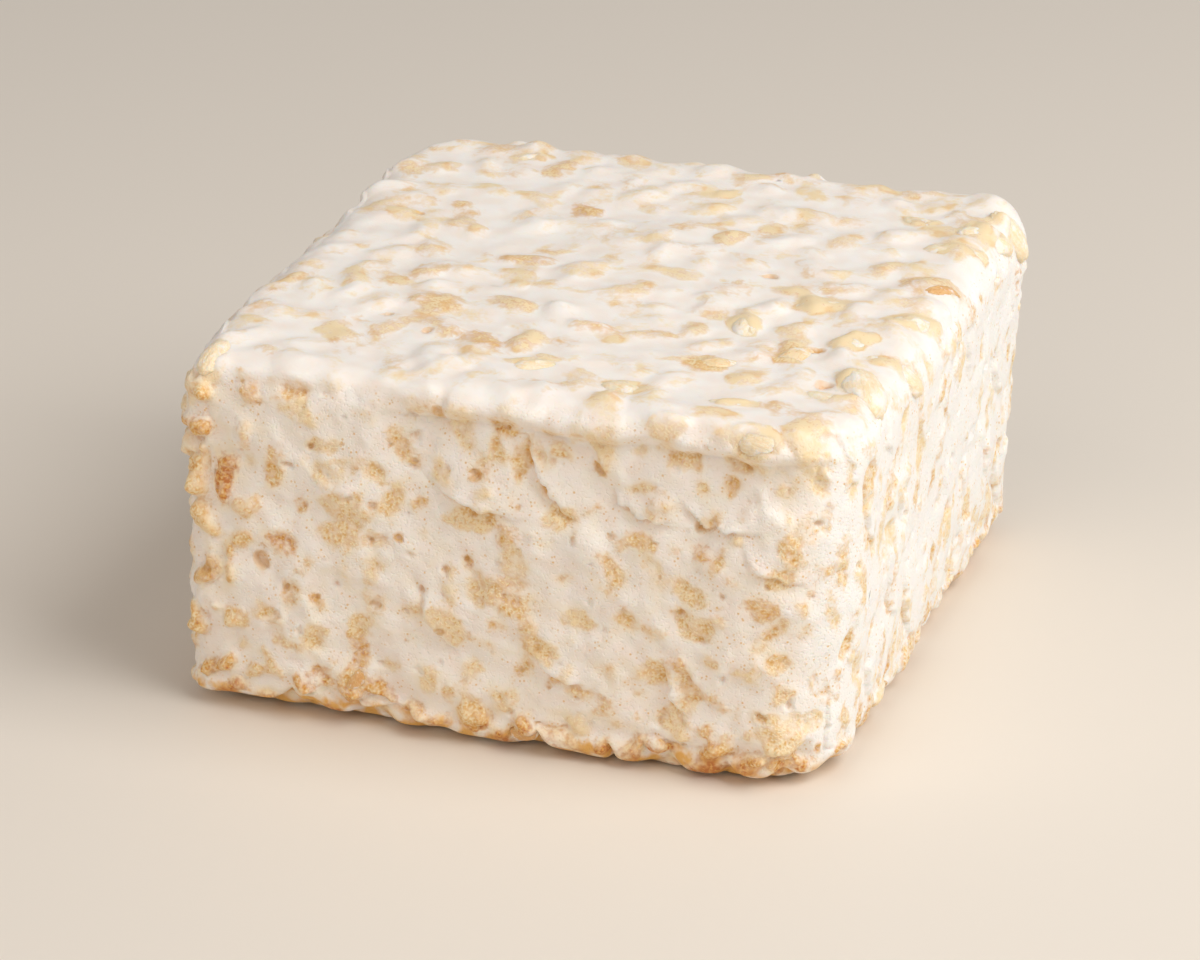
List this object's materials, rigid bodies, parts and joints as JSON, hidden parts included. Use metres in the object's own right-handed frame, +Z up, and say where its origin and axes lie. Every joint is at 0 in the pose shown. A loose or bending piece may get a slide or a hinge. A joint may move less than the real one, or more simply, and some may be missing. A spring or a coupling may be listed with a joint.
{
  "type": "puffed rice marshmallow cake",
  "caption": "Thick square block of puffed rice bound with marshmallow, with a lumpy pressed top, flatter cut sides and a ragged foot.",
  "frame": {"origin": "under the middle of the block, on the surface it stands on", "axes": "+Z up, +X to the right along the cut front, +Y from the front to the back"},
  "size_m": [0.0764, 0.0814, 0.0423],
  "materials": {
    "marshmallow": "satin, faintly sticky melted marshmallow, matt and finely porous where it is cut",
    "puffed_rice": "dry crinkled skin of pale puffed rice under a thin film of marshmallow",
    "toasted_rice": "dry crinkled skin of browned puffed rice"
  },
  "bodies": {
    "root": {"crispy_block": "marshmallow"}
  },
  "joints": []
}
